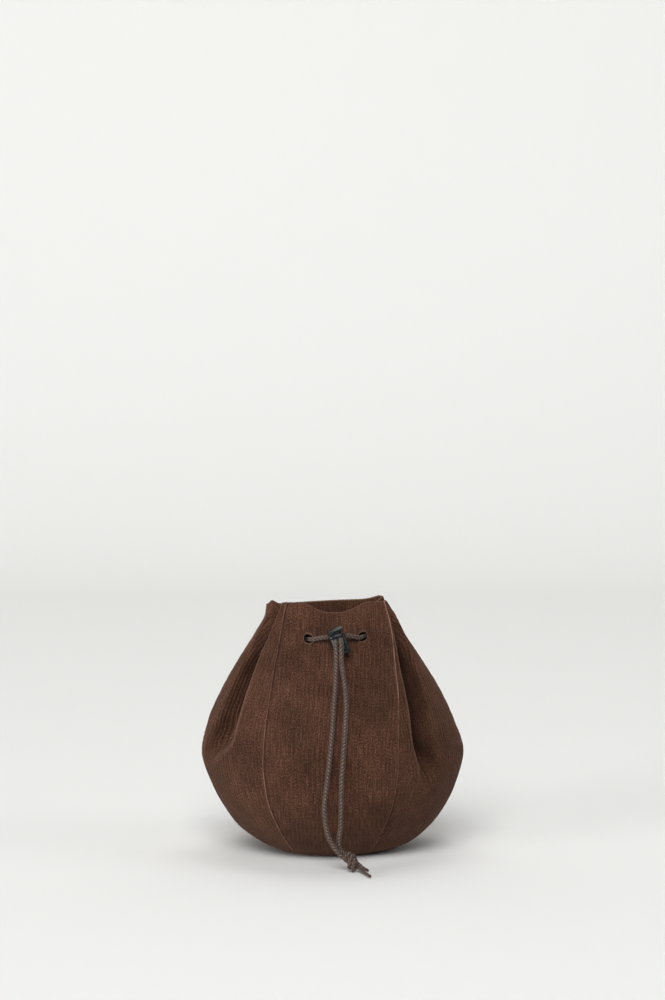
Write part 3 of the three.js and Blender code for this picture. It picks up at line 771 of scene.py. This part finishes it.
def hole_centres(gore, points, u):
    """Grid places where the punches cross a gore.

    Each is the grid point nearest a punch's line, looked for on both flanks of a fold.
    """
    found = []
    halves = [np.ones_like(u, bool)]
    if gore["side"]:
        _, valley, _ = fold_lines(gore, points[..., 2])
        halves = [from_front(gore, u) < valley, from_front(gore, u) >= valley]
    for punch in HOLE_PUNCHES:
        axis = unit(np.array(punch["along"], float))
        away = points - np.array(punch["at"])
        along = away @ axis
        apart = np.linalg.norm(away - along[..., None] * axis, axis=-1)
        for half in halves:
            reach = np.where(half & (np.abs(along) < PUNCH_REACH), apart, np.inf)
            if reach.min() < PUNCH_MISS:
                found.append(np.unravel_index(reach.argmin(), reach.shape))
    return found


def open_holes(points, u, v, centres):
    """Moves the grid so that a block of cells at each centre becomes a round hole, and gives the blocks.

    A block of about the hole's size is pressed to a circle: a point at m block half-sizes from the centre
    goes to m hole radii in the same direction, and the move fades out at HOLE_FADE.
    """
    blocks = []
    half = HOLE_DIAMETER / 2 * HOLE_BLOCK_SHARE
    for i, j in centres:
        tall = np.linalg.norm(points[i + 1, j] - points[i - 1, j]) / 2
        wide = np.linalg.norm(points[i, j + 1] - points[i, j - 1]) / 2
        rows = max(HOLE_LEAST_CELLS, round(half / tall))
        columns = max(HOLE_LEAST_CELLS, round(half / wide))
        blocks.append((i, j, rows, columns))
        near_i = np.arange(max(i - HOLE_FADE * rows, 0), min(i + HOLE_FADE * rows + 1, u.shape[0]))
        near_j = np.arange(max(j - HOLE_FADE * columns, 0), min(j + HOLE_FADE * columns + 1, u.shape[1]))
        near = np.ix_(near_i, near_j)
        sideways = (near_j - j)[None, :] * wide
        upward = (near_i - i)[:, None] * tall
        m = np.maximum(np.abs(sideways) / (columns * wide), np.abs(upward) / (rows * tall))
        wanted = m * HOLE_DIAMETER / 2 / np.maximum(np.hypot(sideways, upward), TINY)
        scale = (1 - smoothstep(m, 1, HOLE_FADE)) * (wanted - 1)
        u[near] += (u[i, j + 1] - u[i, j - 1]) / 2 / wide * sideways * scale
        v[near] += (v[i + 1, j] - v[i - 1, j]) / 2 / tall * upward * scale
    return blocks


def dents(points):
    """Slow unevenness of soft leather: a sum of plane waves, with seeded directions, lengths and phases."""
    chance = np.random.default_rng(DENT_SEED)
    directions = unit(chance.normal(size=(DENT_WAVES, 3)))
    lengths = chance.uniform(*DENT_LENGTHS, DENT_WAVES)
    phases = chance.uniform(0, 2 * np.pi, DENT_WAVES)
    waves = np.sin(2 * np.pi * (points @ directions.T) / lengths + phases)
    return DENT_HEIGHT * waves.sum(-1) / np.sqrt(DENT_WAVES)


def lattice_noise(a, b, seed):
    """Smooth noise from -1 to 1: seeded numbers on a repeating lattice, blended by smoothstep weights."""
    table = np.random.default_rng(seed).uniform(-1, 1, (LATTICE, LATTICE))
    i, j = np.floor(a).astype(int), np.floor(b).astype(int)
    s, t = smoothstep(a - i, 0, 1), smoothstep(b - j, 0, 1)
    i, j, i_next, j_next = (number % LATTICE for number in (i, j, i + 1, j + 1))
    return lerp(lerp(table[i, j], table[i_next, j], s), lerp(table[i, j_next], table[i_next, j_next], s), t)


def rib_wave(across, along):
    """Height of the ribs from -1 to 1: a cosine across the gore that wanders sideways and fades in places."""
    wide, long = RIB_WANDER_LENGTHS
    wander = RIB_WANDER * lattice_noise(across / wide, along / long, NOISE_SEEDS["wander"])
    wide, long = RIB_BREAK_LENGTHS
    strength = 1 - RIB_BREAK + RIB_BREAK * lattice_noise(across / wide, along / long, NOISE_SEEDS["break"])
    return strength * np.cos(2 * np.pi * (across + wander) / RIB_PITCH)


def rib_strength(gore, u, z):
    """Share of the ribs' height: even on the front and back, growing past the crest of a side gore's fold."""
    if gore["side"] == 0:
        return 1
    crest, valley, _ = fold_lines(gore, z)
    return 1 + FOLD_RIBS * fold_growth(gore, z) * smoothstep(from_front(gore, u), crest, valley)


def lap_relief(from_first, from_last):
    """Lapped seam: the last edge rises on the next gore, and the first edge dips under the one before."""
    rise = LAP_RISE * (1 - smoothstep(from_last, 0, LAP_WIDTH))
    dip = TUCK_DEPTH * (1 - smoothstep(from_first, 0, TUCK_WIDTH))
    return rise - dip


def sheet_faces(ids, blocks):
    """Faces of a closed sheet, whose inner points follow its outer ones, and the points round each hole.

    Cells inside a hole's block are left out. Strips of quads join both grids along the seams, the foot, the
    rim and each hole, walked so that they face out of the suede.
    """
    keep = np.ones((ids.shape[0] - 1, ids.shape[1] - 1), bool)
    edges = [(ids[:-1, 0], ids[1:, 0]), (ids[1:, -1], ids[:-1, -1]),
             (ids[0, 1:], ids[0, :-1]), (ids[-1, :-1], ids[-1, 1:])]
    rings = []
    for i, j, tall, wide in blocks:
        keep[i - tall:i + tall, j - wide:j + wide] = False
        ring = np.concatenate([ids[i - tall, j - wide:j + wide], ids[i - tall:i + tall, j + wide],
                               ids[i + tall, j + wide:j - wide:-1], ids[i + tall:i - tall:-1, j - wide]])
        rings.append(ring)
        edges.append((np.roll(ring, -1), ring))
    quads = np.stack([ids[:-1, :-1], ids[:-1, 1:], ids[1:, 1:], ids[1:, :-1]], axis=-1)[keep]
    strips = [np.stack([start, end, end + ids.size, start + ids.size], axis=-1) for start, end in edges]
    return [quads, quads[:, ::-1] + ids.size, *strips], rings


def suede_marks(gore, u, z, across, along, width):
    """How pale and how dark a gore's outer face is drawn at each point.

    The pale mark, partly wear and partly painted highlight, fades exponentially from the lapped edge and is a
    bell about a fold's crest. The dark mark is painted shade: a bell about the tucked edge for the lap's
    shadow, and it grows with depth in a fold near the rim. Both are uneven along the seams.
    """
    uneven = 1 + LAP_UNEVEN * lattice_noise(along / LAP_WEAR_AND_HIGHLIGHT_LENGTH, 0 * along, NOISE_SEEDS["lap"])
    pale_levels = gore.get("lap_wear_and_highlight", LAP_WEAR_AND_HIGHLIGHT)
    by_height = np.interp(z, np.linspace(0, RIM_HEIGHT, len(pale_levels)), pale_levels)
    # pale lapped edge: partly wear, partly painted highlight
    wear_and_highlight = LAP_WEAR_AND_HIGHLIGHT_MOST * by_height * uneven * np.exp(-(width - across) / LAP_WEAR_AND_HIGHLIGHT_WIDTH)
    # painted shadow line beside the tucked edge, where the lap above would shade it
    painted_shade = LAP_SHADOW_SHADE * uneven * np.exp(-(across / LAP_SHADOW_WIDTH) ** 2)
    if gore["side"]:
        w = from_front(gore, u)
        crest, _, _ = fold_lines(gore, z)
        from_crest = (w - crest) * width / CREST_WEAR_AND_HIGHLIGHT_WIDTH
        # pale crest: partly wear, partly painted highlight
        wear_and_highlight = np.maximum(wear_and_highlight, CREST_WEAR_AND_HIGHLIGHT * fold_growth(gore, z) * np.exp(-from_crest ** 2))
        # painted shade deep in the fold near the rim
        deep = smoothstep(fold_shape(gore, w, z), *DEEP_SHARES)
        painted_shade = np.maximum(painted_shade, PAINTED_FOLD_SHADE * deep * smoothstep(z, *DEEP_HEIGHTS))
    return wear_and_highlight, painted_shade


def gore_sheet(gore):
    """A gore as a closed sheet: outer and inner grids a wall apart, with rim, seam and hole edges between.

    The outer face is lifted along its normal by dents, laps and ribs, the inner one by dents and laps, and
    both draw in a little at the seams. Also gives the flat cut in millimetres, the marks, and the cut's size.
    """
    levels, lengths = row_levels()
    u, v = np.meshgrid(gore_columns(gore), levels)
    plain = gore_point(gore, u, v)
    blocks = open_holes(plain, u, v, hole_centres(gore, plain, u))
    base = gore_point(gore, u, v)
    z = base[..., 2]
    across = run_lengths(base, axis=1)
    width = across[:, -1:]
    along = np.repeat(lengths[:, None], u.shape[1], axis=1)
    lift = smoothstep(z, *RELIEF_HEIGHTS)
    sway = (dents(base) + lap_relief(across, width - across)) * lift
    ribs = rib_strength(gore, u, z) * rib_wave(across - width / 2, along)
    inset = SEAM_GAP / 2 * (1 - 2 * u) * np.exp(-np.minimum(across, width - across) / SEAM_INSET_WIDTH)
    drawn_in = base + inset[..., None] * unit(np.gradient(base, axis=1))
    normal = gore_normal(gore, u, v)
    outer = drawn_in + (sway + RIB_HEIGHT * ribs * lift)[..., None] * normal
    inner = drawn_in + (sway - WALL)[..., None] * normal
    points = np.vstack([outer.reshape(-1, 3), inner.reshape(-1, 3)])
    faces, rings = sheet_faces(np.arange(u.size).reshape(u.shape), blocks)
    used = np.unique(np.concatenate([group.ravel() for group in faces]))
    renumber = np.zeros(len(points), int)
    renumber[used] = np.arange(len(used))
    flat = np.stack([across - width / 2, along], axis=-1).reshape(-1, 2)
    cut = np.exp(-(lengths[-1] - along) / CUT_EDGE_WIDTH)
    for ring in rings:
        cut.flat[ring] = 1
    wear_and_highlight, painted_shade = suede_marks(gore, u, z, across, along, width)
    none = np.zeros_like(cut)  # marks are given for the outer face and then the inner one
    marks = {"cut_edge": (cut, cut), "flesh_side": (none, none + 1), "painted_shade": (painted_shade, none),
             "wear_and_highlight_edge": (wear_and_highlight, none), "rib": (ribs, none)}
    values = {name: np.concatenate(both, axis=None)[used] for name, both in marks.items()}
    cut_size = (width.max() * MM, lengths[-1] * MM)
    cut_area = np.sum(np.diff(lengths) * (width[1:, 0] + width[:-1, 0]) / 2) * MM * MM
    flat = np.vstack([flat, flat])[used]
    return points[used], [renumber[group] for group in faces], flat, values, cut_size, cut_area


def ribbed_suede():
    """Ribbed suede: split hide pressed in fine broken ribs and brushed, so it is matt, mottled and edge-soft.

    Rib crowns catch the brush and are lighter. Nap shows as specks, and as streaks along the ribs. Slow
    patches are where the nap lies another way or took the dye less red. The inner face is paler: partly the
    flesh side's own tone, partly painted light inside the mouth.
    """
    made, tree, shader = start_material("ribbed_suede", {
        "Roughness": 0.95, "Specular IOR Level": 0.12, "Sheen Weight": 0.18, "Sheen Roughness": 0.5,
        "Sheen Tint": linear(SHEEN_TINT)})
    flat = node(tree, "UVMap", {"uv_map": "flat_cut"})
    place = node(tree, "TexCoord")
    rib = node(tree, "Attribute", {"attribute_name": "rib"})
    nap_noises = []
    for across, along in (SPECK_SIZE, STREAK_SIZE):
        scaled = node(tree, "Mapping", inputs={"Vector": flat, "Scale": (1 / across, 1 / along, 1)})
        nap_noises.append(node(tree, "TexNoise", inputs={"Vector": scaled, "Scale": 1.0, "Detail": 1.0}))
    specks, streaks = nap_noises
    patches = node(tree, "TexNoise", inputs={
        "Vector": place, "Scale": 1 / (NAP_PATCH * MM), "Detail": 4.0, "Roughness": 0.6})
    hues = node(tree, "TexNoise", inputs={
        "Vector": place, "Scale": 1 / (HUE_PATCH * MM), "Detail": 3.0, "Roughness": 0.65})
    streaked = node(tree, "Math", {"operation": "MULTIPLY_ADD"}, {0: streaks, 1: STREAK_SHARE, 2: specks})
    ribbed = node(tree, "Math", {"operation": "MULTIPLY_ADD"}, {0: rib, 1: RIB_SHARE, 2: streaked})
    tones = node(tree, "ValToRGB", inputs={"Fac": ribbed}, stops=SUEDE_TONES)
    nap = node(tree, "MapRange", inputs={
        "Value": patches, "From Min": 0.3, "From Max": 0.7, "To Min": 0.7, "To Max": 1.3})
    brushed = node(tree, "VectorMath", {"operation": "SCALE"}, {0: tones, "Scale": nap})
    olive = node(tree, "MapRange", inputs={
        "Value": hues, "From Min": 0.45, "From Max": 0.7, "To Min": 0.0, "To Max": 0.35})
    dyed = node(tree, "MixRGB", {"blend_type": "MULTIPLY"}, {
        "Fac": olive, "Color1": brushed, "Color2": linear(OLIVE_TINT)})
    # Inner face paler: partly the flesh side's own tone, partly painted light inside the mouth
    flesh = node(tree, "Attribute", {"attribute_name": "flesh_side"})
    paler = node(tree, "MapRange", inputs={"Value": flesh, "To Min": 1.0, "To Max": 1.8})
    sided = node(tree, "VectorMath", {"operation": "SCALE"}, {0: dyed, "Scale": paler})
    marked = sided
    # Mixes in the cut edge's pale core, the painted shade, and the pale edges that are partly wear and partly
    # painted highlight
    for mark, tone in MARK_TONES.items():
        strength = node(tree, "Attribute", {"attribute_name": mark})
        marked = node(tree, "MixRGB", inputs={"Fac": strength, "Color1": marked, "Color2": linear(tone)})
    tree.links.new(marked.outputs["Color"], shader.inputs["Base Color"])
    bump = node(tree, "Bump", inputs={"Height": specks, "Strength": 0.5, "Distance": SPECK_HEIGHT * MM})
    tree.links.new(bump.outputs["Normal"], shader.inputs["Normal"])
    return made


def make_bag():
    """The six gores, each a sheet of suede with its flat size."""
    suede = ribbed_suede()
    for gore in GORES:
        points, faces, flat, values, cut_size, cut_area = gore_sheet(gore)
        made = piece(f"gore_{gore['name']}", points, faces, suede, flat, values)
        stand_for(made, "pouch", "suede", f"panel_{gore['name']}")


def moulded_acetal():
    """Moulded acetal: near-black plastic from a finely sparked mould, so its highlights are small and clear.

    The spark texture is drawn coarser than a real one, so that it shows.
    """
    made, tree, shader = start_material("moulded_acetal", {
        "Roughness": 0.25, "IOR": 1.48, "Specular IOR Level": 0.3})
    place = node(tree, "TexCoord")
    spark = node(tree, "TexNoise", inputs={"Vector": place, "Scale": 1 / (SPARK_SIZE * MM), "Detail": 2.0})
    bump = node(tree, "Bump", inputs={"Height": spark, "Strength": 0.1, "Distance": SPARK_HEIGHT * MM})
    tree.links.new(bump.outputs["Normal"], shader.inputs["Normal"])
    scuffs = node(tree, "TexNoise", inputs={"Vector": place, "Scale": 1 / (SCUFF_SIZE * MM), "Detail": 3.0})
    tones = node(tree, "ValToRGB", inputs={"Fac": scuffs}, stops=ACETAL_TONES)
    tree.links.new(tones.outputs["Color"], shader.inputs["Base Color"])
    return made


def lock_turning(profile):
    """Closed turning about the lock's axis: each profile point's ring, with fans to the axis at both ends.

    The rings are superellipses, less deep than wide, and those at the top fall towards the front.
    """
    rings = np.array(profile)
    turn = np.linspace(0, 2 * np.pi, LOCK_POINTS, endpoint=False)
    round_ring = np.stack([np.cos(turn), np.sin(turn)], axis=-1)
    ring = np.sign(round_ring) * np.abs(round_ring) ** (2 / LOCK_SQUARENESS) * (1, LOCK_DEPTH_SHARE)
    flat = rings[:, None, :1] * ring
    slope = np.interp(rings[:, 1], SLOPE_LEVELS, SLOPES)
    height = rings[:, None, 1:] + slope[:, None, None] * flat[..., 1:]
    points = np.concatenate([flat, height], axis=-1).reshape(-1, 3)
    poles = [[0, 0, rings[0, 1]], [0, 0, rings[-1, 1]]]
    return np.vstack([points, poles]), tube_faces(len(rings), LOCK_POINTS)


def carried(outline, axis, reach):
    """Points of an outline at both ends of a straight way along one axis."""
    return np.vstack([np.insert(outline, axis, end, axis=1) for end in (-reach, reach)])


def channel_cutter(bottom, top):
    """Rounded slot through the lock from front to back: an outline with quarter-circle corners along Y."""
    corner = np.linspace(0, np.pi / 2, CHANNEL_CORNER_POINTS)
    arc = CHANNEL_CORNER * np.stack([np.cos(corner), np.sin(corner)], axis=-1)
    half = CHANNEL_HALF_WIDTH - CHANNEL_CORNER
    high, low = top - CHANNEL_CORNER, bottom + CHANNEL_CORNER
    outline = np.vstack([arc + (half, high), arc[:, ::-1] * (-1, 1) + (-half, high),
                         -arc + (-half, low), arc[:, ::-1] * (1, -1) + (half, low)])
    count = len(outline)
    ring = np.arange(count)
    beside = np.roll(ring, -1)
    wall = np.stack([ring, beside, beside + count, ring + count], axis=-1)
    return carried(outline, 1, CHANNEL_REACH), [wall, ring[None, ::-1], ring[None] + count]


def lock_pose(points):
    """Leans the lock about X, tilts it about Y and moves it to its place."""
    lean, tilt = -np.radians(LOCK_LEAN_DEGREES), -np.radians(LOCK_TILT_DEGREES)
    about_x = np.array([(1, 0, 0), (0, np.cos(lean), -np.sin(lean)), (0, np.sin(lean), np.cos(lean))])
    about_y = np.array([(np.cos(tilt), 0, np.sin(tilt)), (0, 1, 0), (-np.sin(tilt), 0, np.cos(tilt))])
    return points @ (about_y @ about_x).T + LOCK_CENTRE


def lock_piece(name, profile, channel_top, plastic):
    """A turning with the cord channel cut through it by a Boolean, in its place on the bag."""
    points, faces = lock_turning(profile)
    made = piece(name, lock_pose(points), faces, plastic)
    points, faces = channel_cutter(-CHANNEL_HALF_HEIGHT, channel_top)
    cutter = piece(f"{name}_channel", lock_pose(points), faces, plastic)
    cut = made.modifiers.new("channel", "BOOLEAN")
    cut.operation = "DIFFERENCE"
    cut.solver = "EXACT"
    cut.object = cutter
    bpy.context.view_layer.update()
    mesh = bpy.data.meshes.new_from_object(made.evaluated_get(bpy.context.evaluated_depsgraph_get()))
    made.modifiers.clear()
    made.data = mesh
    mesh.polygons.foreach_set("use_smooth", np.ones(len(mesh.polygons), bool))
    mesh.set_sharp_from_angle(angle=np.radians(CUT_SHARP_DEGREES))
    bpy.data.objects.remove(cutter)
    return made


def make_lock():
    """The barrel, and the push button with a channel that is taller by its travel."""
    plastic = moulded_acetal()
    barrel = lock_piece("lock_barrel_shell", BARREL_PROFILE, CHANNEL_HALF_HEIGHT, plastic)
    stand_for(barrel, "pouch", "plastic", "lock_barrel")
    button = lock_piece("lock_push_button", BUTTON_PROFILE, CHANNEL_HALF_HEIGHT + BUTTON_TRAVEL, plastic)
    stand_for(button, "lock_button", "plastic", "lock_button")


def studio_paper():
    """Matt backdrop paper: one pale grey with no gloss."""
    made, _, _ = start_material("matt_backdrop_paper", {
        "Base Color": linear(PAPER_GREY), "Roughness": 1.0, "Specular IOR Level": 0.0})
    return made


def make_stage():
    """Backdrop sweep: a floor that turns up into a wall by a quarter circle, carried along X."""
    corner = np.linspace(0, np.pi / 2, SWEEP_BEND_POINTS)
    bend = np.stack([np.sin(corner), 1 - np.cos(corner)], axis=-1) * SWEEP_RADIUS + (SWEEP_BEND, 0)
    profile = np.vstack([(SWEEP_FRONT, 0), bend, (SWEEP_BEND + SWEEP_RADIUS, SWEEP_TOP)])
    count = len(profile)
    row = np.arange(count - 1)
    faces = [np.stack([row, row + count, row + count + 1, row + 1], axis=-1)]
    sweep = piece("backdrop_sweep", carried(profile, 0, SWEEP_HALF_WIDTH), faces, studio_paper())


def softbox(name, place, size, power):
    """Square area light at a place, turned to face the pouch."""
    lamp = bpy.data.lights.new(name, "AREA")
    lamp.shape = "SQUARE"
    lamp.size = size
    lamp.energy = power
    stand = bpy.data.objects.new(name, lamp)
    stand.location = place
    stand.rotation_euler = (Vector(LAMP_AIM) - Vector(place)).to_track_quat("-Z", "Y").to_euler()
    bpy.context.scene.collection.objects.link(stand)


def light_studio():
    """Large softboxes in a dim white room: the strongest high in front, others low left, right and behind."""
    world = bpy.data.worlds.new("studio_room")
    bpy.context.scene.world = world
    world.use_nodes = True
    room = world.node_tree.nodes["Background"]
    room.inputs["Color"].default_value = linear("#ffffff")
    room.inputs["Strength"].default_value = ROOM_STRENGTH
    for name, box in SOFTBOXES.items():
        softbox(name, **box)
    bpy.context.scene.view_settings.view_transform = "Standard"


place_camera()
make_cords()
make_bag()
make_lock()
make_stage()
light_studio()
